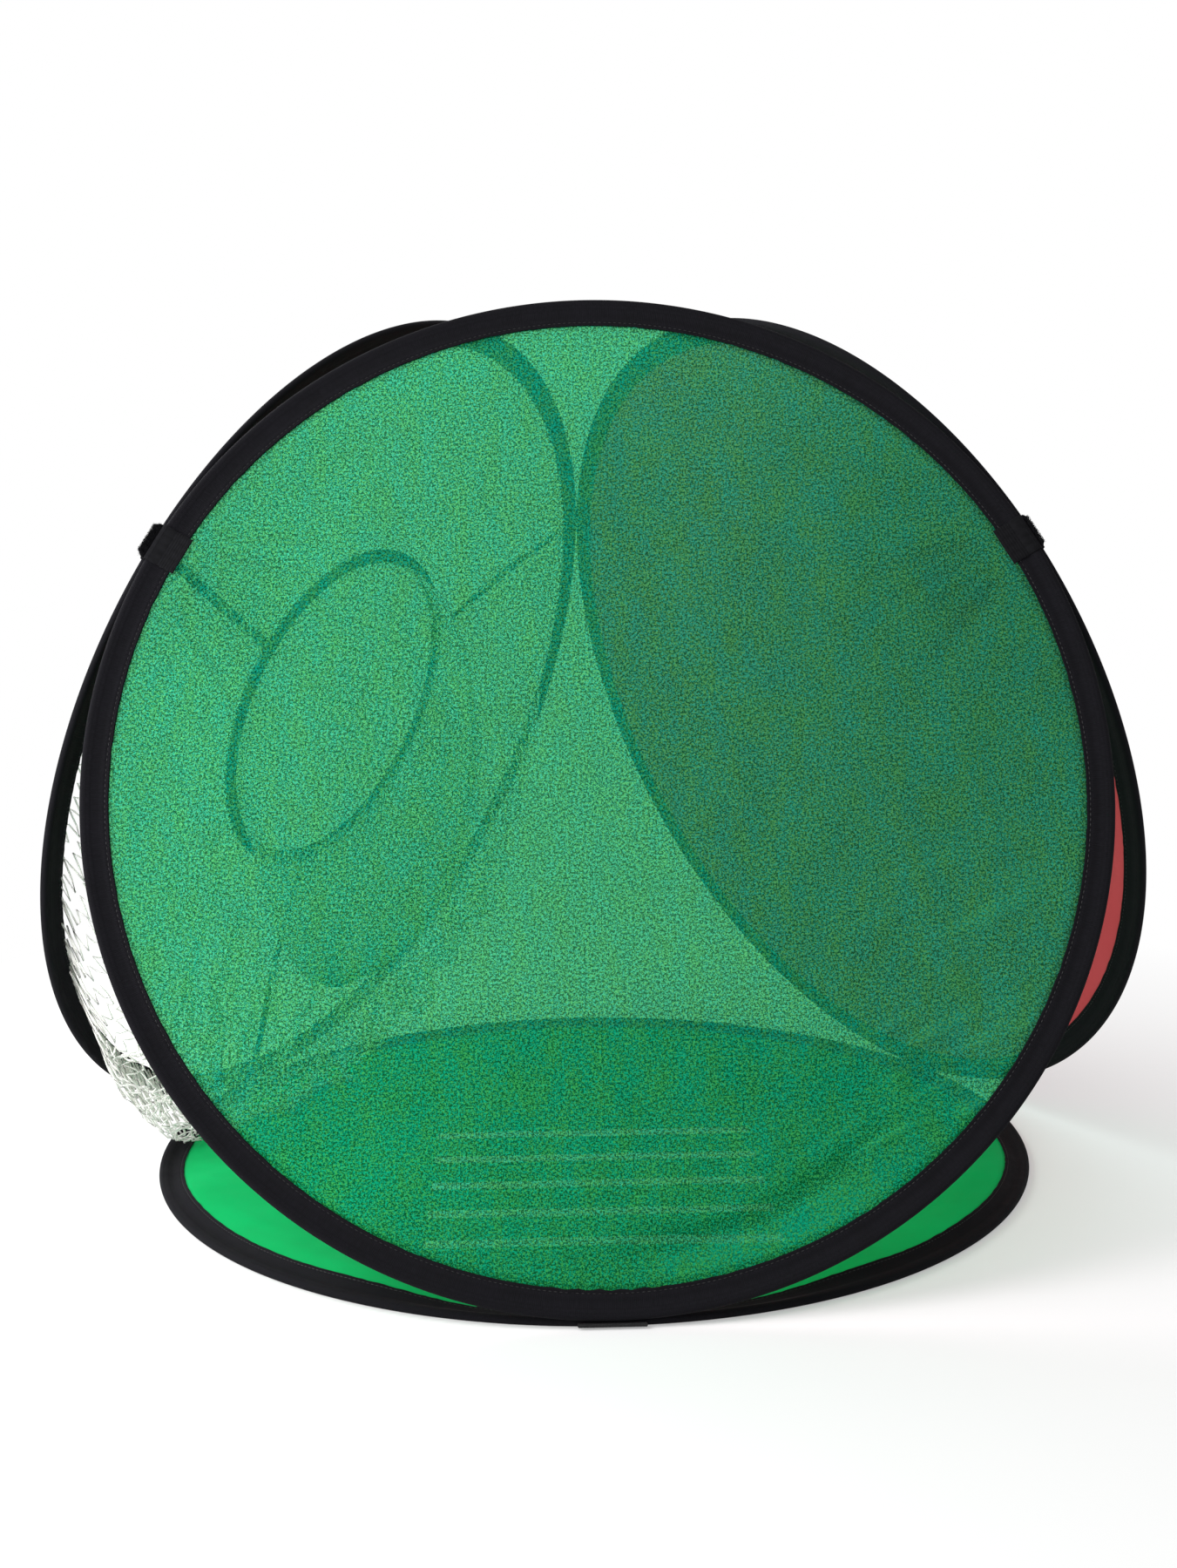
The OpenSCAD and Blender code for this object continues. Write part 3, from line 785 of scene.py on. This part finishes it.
def pocket_cord_lines():
    """Cords of the pocket, from its mouth behind the ring to the gathered tip. Its section is
    drawn upright, (into the tent, up) from the ring's centre, and then leans with the face."""
    points_a_cord, gathered_end, slack = 128, 0.985, 1.35
    mouth_r = ring_r - pocket_wall / 2
    back = ring_bead_r + lay_gap + pocket_wall / 2
    mouth_back = back * np.array([sin(face_lean), -cos(face_lean)])
    mouth_up = mouth_r * np.array([cos(face_lean), sin(face_lean)])
    tip = (0.08 * pocket_reach, -pocket_drop)
    t = (1 - (1 - np.linspace(0, 1, points_a_cord)) ** 1.15) * gathered_end
    far = bezier(mouth_back + mouth_up, (1.25 * pocket_reach, 0.6 * mouth_r),
                 (1.1 * pocket_reach, -0.63 * pocket_drop), tip, t)
    near = bezier(mouth_back - mouth_up, (-0.4 * mouth_r, -1.24 * mouth_r),
                  (-0.22 * mouth_r, -0.95 * pocket_drop), tip, t)
    width = mouth_r * np.sqrt(np.clip(1 - t ** 2.5, 0, None))
    middle, reach = (far + near) / 2, (far - near) / 2
    matrix = RING @ Matrix.Rotation(-face_lean, 4, "X")
    path = distance_along(middle) * slack
    step = 2 * pi / pocket_cords
    lines = []
    for k in range(pocket_cords):
        phase = 0 if k % 2 else pi
        a = step * k + step * 0.37 * np.cos(2 * pi * path / cell_h + phase)
        a = a + step * 0.10 * np.sin(path / 0.004 + 2.1 * k)
        fold = 1 - 0.035 * smooth_step(t * 3) * (1 + np.sin(9 * a + 3 * t + 0.6 * np.sin(5 * t)))
        fold = fold - 0.02 * smooth_step(t * 3) * (1 + np.sin(17 * a - 5 * t))
        x = width * fold * np.sin(a)
        yz = middle + reach * (fold * np.cos(a))[:, None]
        yz = yz + 0.0006 * np.sin(path / 0.0035 + 1.7 * k)[:, None]
        lines.append(placed(np.column_stack([x, yz]), matrix))
    return lines


pocket = tube_piece("pocket_netting", pocket_cord_lines(), cord_d / 2, "net_face", NET,
                    facing=(0.1, 0.9, 0.3))
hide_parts("net_pocket")

# ---- straps, tabs and hinges


def ribbon(path, side, normal, width, thick, edge_wave, seed, taper=1.0):
    """Rows of a flat tape with round edges along a path. side and normal are unit vectors for
    each point of the path, taper the share of the width there."""
    half, r = width / 2, thick / 2
    turn = np.linspace(-pi / 2, pi / 2, 5)
    section = np.array([(half - r + r * cos(a), r * sin(a)) for a in turn]
                       + [(share * half, r) for share in (0.5, 0, -0.5)]
                       + [(-half + r - r * cos(a), r * sin(a)) for a in turn[::-1]]
                       + [(share * half, -r) for share in (-0.5, 0, 0.5)])
    phase = np.random.RandomState(seed).uniform(0, 6)
    wave = edge_wave * np.sin(np.arange(len(path)) * 1.3 + phase)
    across = section[:, 0] * ((1 + wave / half) * taper)[:, None]
    return path[:, None] + across[..., None] * side[:, None] + section[:, 1:] * normal[:, None]


def capped(name, grid, body, material, length):
    """A ribbon closed at both ends."""
    rows, cols = grid.shape[:2]
    last, middles = (rows - 1) * cols, rows * cols
    points = np.concatenate([grid.reshape(-1, 3), grid[:1].mean(axis=1), grid[-1:].mean(axis=1)])
    faces, corners = quads(rows, cols, wrap_cols=True)
    ends = []
    for j in range(cols):
        k = (j + 1) % cols
        ends += [(j, k, middles), (last + k, last + j, middles + 1)]
    piece = new_piece(name, points, faces.tolist() + ends, body, material, flat=len(ends))
    uv = np.stack([corners[..., 0] * length / rows, corners[..., 1] * 0.0012], axis=-1)
    set_uv(piece, np.concatenate([uv.reshape(-1, 2), np.zeros((3 * len(ends), 2))]))
    return piece


def build_strap(name, angle, hoop_end_r, seed, sewn_to_hoop=False):
    """Webbing from the hoop's edge to the ring's flange, a little slack between its ends."""
    a = radians(angle)
    end = np.array([hoop_end_r * cos(a) - ring_x, hoop_end_r * sin(a) - ring_y])
    end_r, start_r = np.linalg.norm(end), ring_outer_r - strap_lap
    way = np.append(end / end_r, 0)
    side_way, up = np.array([-way[1], way[0], 0]), np.array([0, 0, 1])
    along = np.linspace(start_r, end_r, 48)
    share = (along - start_r) / (end_r - start_r)
    slack = 0.0018 * np.sin(pi * share) ** 2 + 0.0006 * np.sin(9 * share + seed) * np.sin(pi * share)
    height = net_lip + lay_gap + strap_t / 2 + slack
    path = (ring_x, ring_y, 0) + along[:, None] * way + height[:, None] * up
    turn = 0.16 * np.sin(2 * pi * share + seed) * np.sin(pi * share)
    side = side_way + turn[:, None] * up
    grid = ribbon(path, side, np.cross(way, side), strap_w, strap_t, 0.00012, seed)
    strap = capped(name + "_webbing", placed(grid, FACE["net_face"]), "net_face", WEBBING,
                   end_r - start_r)
    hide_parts(name)
    box_stitch(name + "_stitching", path, way, side_way, sewn_to_hoop)


def box_stitch(name, path, way, side_way, sewn_to_hoop):
    """Sewn squares that hold a strap to the ring and, if asked, to the hoop."""
    size, end_gap, half_stitch, thread_r = 0.0026, 0.0022, 0.0007, 0.00022
    top = (0, 0, strap_t / 2 + 0.00015)
    middles = [path[0] + way * end_gap]
    if sewn_to_hoop:
        middles.append(path[-1] - way * end_gap)
    lines = []
    for middle in middles:
        for row in np.linspace(-1, 1, 3):
            for k in np.linspace(-1, 1, 4):
                at = middle + way * row * size * 0.55 + side_way * k * size + top
                lines.append(np.array([at - side_way * half_stitch, at + (0, 0, 0.0001),
                                       at + side_way * half_stitch]))
    face_tubes(name, lines, thread_r, "net_face", THREAD, 4)


tab_end_r = inner_r - tab_over - 0.0004
build_strap("strap_green_side", 30, tab_end_r, 1)
build_strap("strap_red_side", 150, tab_end_r, 2)
build_strap("strap_foot", 270, inner_r + strap_lap, 3, sewn_to_hoop=True)


def from_mid_plane(a, b):
    half = face_lean / 2
    return b * cos(half) - a * sin(half), a * cos(half) + b * sin(half)


flag_points = 8


def tab_path(lip, flag_share):
    """Middle line of a tab, square to the pyramid's edge: over the flange and the bead, and up
    into a flag. Returns its points as (away from the hoop's centre, out of the tent)."""
    r = bead_r + lay_gap + tab_t / 2
    side = lay_gap + tab_t / 2
    bead_side, bead_depth = bead_reach * sin(face_lean / 2), bead_reach * cos(face_lean / 2)
    flat = [(x, lip + side) for x in np.linspace(-(touch_r - inner_r + tab_over),
                                                 -(bead_reach + bead_r + slope_w), 14)]
    over = [from_mid_plane(bead_side + r * cos(a), -bead_depth + r * sin(a))
            for a in np.linspace(face_lean / 2, acos((side - bead_side) / r), 12)]
    top, flag_end = np.array(over[-1]), np.array(from_mid_plane(side, tab_h * flag_share))
    flag = [top + (flag_end - top) * t for t in np.linspace(0.15, 1, flag_points)]
    return np.array(flat + over + flag)


def build_tab(name, body, angle, lip, seed, flag_share=1.0, lint=0):
    """A hook-and-loop tab: its strip, its fibres and a few pale hairs (lint is their number)."""
    line = tab_path(lip, flag_share)
    a = radians(angle)
    out, side_way = np.array([cos(a), sin(a), 0]), np.array([-sin(a), cos(a), 0])
    path = (touch_r + line[:, :1]) * out + line[:, 1:] * (0, 0, 1)
    side = np.tile(side_way, (len(path), 1))
    normal = np.cross(unit(np.gradient(path, axis=0)), side)
    normal *= np.sign(normal[0][2])
    taper = np.ones(len(path))
    taper[-flag_points:] = 1 - (1 - tab_end_share) * np.linspace(0.1, 1, flag_points) ** 1.6
    grid = ribbon(path, side, normal, tab_w, tab_t * 0.96, 0.00018, seed, taper)
    tab = capped(name + "_strip", placed(grid, FACE[body]), body, HOOK,
                 distance_along(path)[-1])
    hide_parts(name)
    tip, up = path[-1], unit(path[-1] - path[-2])
    fuzz(name + "_fuzz", body, tip, up, side_way, normal[-1], seed)
    if lint:
        stray_lint(name + "_lint", body, tip, up, side_way, normal[-1], seed, lint)


def fuzz(name, body, tip, up, side_way, normal, seed):
    """Hook and loop fibres at the free end of a tab."""
    count, reach, fibre_r = 560, 0.0032, 0.00007
    draw = np.random.RandomState(seed + 900)
    lines = []
    for k in range(count):
        back = draw.uniform(0, reach) if k % 3 else 0.0
        across = draw.uniform(-0.5, 0.5) * tab_w * (tab_end_share + (1 - tab_end_share) * back / reach)
        root = tip - up * (back + 0.0001) + side_way * across + normal * draw.uniform(0, 0.0004)
        way = up * draw.uniform(0.2, 1.0) + side_way * draw.uniform(-0.7, 0.7)
        way = unit(way + normal * draw.uniform(0.0, 0.8))
        size = draw.uniform(0.0006, 0.0015)
        bend = side_way * draw.uniform(-0.5, 0.5) - up * draw.uniform(0.0, 0.6)
        lines.append(np.array([root, root + size * way * 0.55,
                               root + size * (way * 0.9 + bend * 0.3),
                               root + size * (way + bend * 0.75)]))
    face_tubes(name, lines, fibre_r, body, HOOK, 3)


def stray_lint(name, body, tip, up, side_way, normal, seed, count):
    """Pale hairs caught in the hooks at a tab's free end."""
    hair_r = 0.00006
    draw = np.random.RandomState(seed + 400)
    lines = []
    for k in range(count):
        root = tip + side_way * draw.uniform(-0.26, 0.34) * tab_w + normal * 0.0003
        way = unit(side_way * draw.uniform(-1, 1) + up * draw.uniform(0.2, 1.0))
        curl = up * draw.uniform(-0.8, 1.2) + normal * draw.uniform(-0.2, 0.6)
        size = draw.uniform(0.0010, 0.0026)
        lines.append(np.array([root, root + size * (way * 0.4 + curl * 0.25),
                               root + size * (way * 0.8 + curl * 0.1), root + size * way]))
    face_tubes(name, lines, hair_r, body, LINT, 3)


build_tab("tab_green_to_net", "green_face", 150, panel_lip, 81, flag_share=0.80, lint=3)
build_tab("tab_green_to_red", "green_face", 30, panel_lip, 82, flag_share=0.36, lint=12)
build_tab("tab_red_to_green", "red_face", 150, panel_lip, 83, flag_share=0.40)
build_tab("tab_red_to_net", "red_face", 30, panel_lip, 84)
build_tab("tab_net_to_red", "net_face", 150, net_lip, 85)
build_tab("tab_net_to_green", "net_face", 30, net_lip, 86, flag_share=0.85)


def build_hinge(name, azimuth):
    """Sewn bar: thread wound closely round a cord on the hinge line."""
    full_r = (bead_reach - bead_r - hinge_play) * 0.75
    thread_r, pitch, points_a_turn = 0.00032, 0.00068, 14
    core_r = full_r - 2 * thread_r
    turns = int((hinge_l - 2 * thread_r) / pitch)
    t = np.linspace(0, turns, turns * points_a_turn + 1)
    x = (t / turns - 0.5) * (hinge_l - 4 * thread_r)
    wound_r = core_r + thread_r * 0.9
    wound = np.column_stack([x, wound_r * np.cos(2 * pi * t), wound_r * np.sin(2 * pi * t)])
    core = np.outer(np.linspace(-0.5, 0.5, 9) * (hinge_l - 2 * thread_r), (1, 0, 0))
    matrix = hinge_matrix(azimuth)
    points, faces = swept_tubes([placed(wound, matrix)], thread_r)
    more, more_faces = swept_tubes([placed(core, matrix)], core_r, 14)
    faces += [[i + len(points) for i in face] for face in more_faces]
    bar = new_piece(name + "_whipping", np.concatenate([points, more]), faces, "ground",
                    WHIPPING)
    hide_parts(name)


for prefix, azimuth in azimuths.items():
    build_hinge("hinge_" + prefix, azimuth)

for prefix in ("base", "green", "red", "net", "ring"):
    for part, material in (("spring", STEEL), ("ferrule", FERRULE)):
        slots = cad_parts[prefix + "_" + part].data.materials
        slots.clear()
        slots.append(material)

# ---- floor, light and camera


def seen_directly(tree):
    """1 where the camera sees a surface, also in a reflection or through glass, otherwise 0."""
    path = node(tree, "LightPath")
    first = calc(tree, "MAXIMUM", path.outputs["Is Camera Ray"], path.outputs["Is Glossy Ray"])
    return calc(tree, "MAXIMUM", first, path.outputs["Is Transmission Ray"])


def build_floor():
    """A pale floor that takes the object's shadow and turns to plain white away from it. Near
    the object, white glow that only the camera sees is painted light that lightens the shadow.
    """
    size, grey_r, white_r = 30.0, 0.34, 0.80
    corners = [(-size, -size, 0), (size, -size, 0), (size, size, 0), (-size, size, 0)]
    floor = mesh_object("floor", corners, [(0, 1, 2, 3)], flat=1)
    material, tree = empty_material("floor")
    place = object_place(tree)
    tone = noise(tree, place, 3.0, 2)
    colour = mix_colour(tree, tone, rgb(0.90, 0.90, 0.90), rgb(0.93, 0.93, 0.93))
    away = node(tree, "VectorMath", {0: place}, operation="LENGTH").outputs["Value"]
    # Share of white glow the camera sees: 0.35 near the object, painted light over its shadow, rising
    # to 1 away from it.
    far = calc(tree, "MULTIPLY", spread(tree, away, grey_r, white_r, 0.35, 1.0), seen_directly(tree))
    matt = node(tree, "BsdfDiffuse", {"Color": colour}).outputs[0]
    white = node(tree, "Emission", {"Color": rgb(1, 1, 1), "Strength": 1.0}).outputs[0]
    floor.data.materials.append(finished(material, mix_shader(tree, far, matt, white)))


def build_world():
    """Soft light that is stronger from above. What the camera sees of it is plain white."""
    low, high = 0.30, 0.68
    world = bpy.data.worlds.new("studio")
    bpy.context.scene.world = world
    world.use_nodes = True
    tree = world.node_tree
    tree.nodes.clear()
    up = node(tree, "SeparateXYZ", {0: node(tree, "TexCoord").outputs["Generated"]}).outputs["Z"]
    strength = calc(tree, "MAXIMUM", seen_directly(tree), spread(tree, up, 0.0, 0.7, low, high))
    back = node(tree, "Background", {"Color": rgb(1, 1, 1), "Strength": strength})
    node(tree, "OutputWorld", {"Surface": back.outputs[0]})


def area_light(name, place, aim, size, power):
    data = bpy.data.lights.new(name, "AREA")
    data.shape, data.size, data.energy = "DISK", size, power
    lamp = scene_object(name, data)
    lamp.location = place
    lamp.rotation_euler = (Vector(aim) - Vector(place)).to_track_quat("-Z", "Y").to_euler()


def build_camera():
    """The camera that the four hoops' outlines in the photograph were fitted with."""
    place, target = Vector((-0.0409, -1.3216, 0.4732)), Vector((-0.00114, 0, 0.2606))
    roll = -0.01058
    data = bpy.data.cameras.new("camera")
    data.sensor_fit, data.sensor_height, data.lens = "VERTICAL", 36.0, 44.10
    data.clip_start, data.clip_end = 0.05, 100
    camera = scene_object("camera", data)
    turn = (target - place).to_track_quat("-Z", "Y").to_matrix().to_4x4()
    camera.matrix_world = Matrix.Translation(place) @ turn @ Matrix.Rotation(roll, 4, "Z")
    bpy.context.scene.camera = camera


build_floor()
build_world()
area_light("key", (-1.05, -0.80, 1.20), (-0.1, 0, 0.3), 0.8, 17)
area_light("back", (-1.2, 0.75, 1.25), (-0.1, 0, 0.25), 0.9, 17)
area_light("low fill", (-1.25, -0.55, 0.30), (-0.3, 0, 0.1), 0.7, 12)
build_camera()
bpy.context.scene.view_settings.view_transform = "Standard"
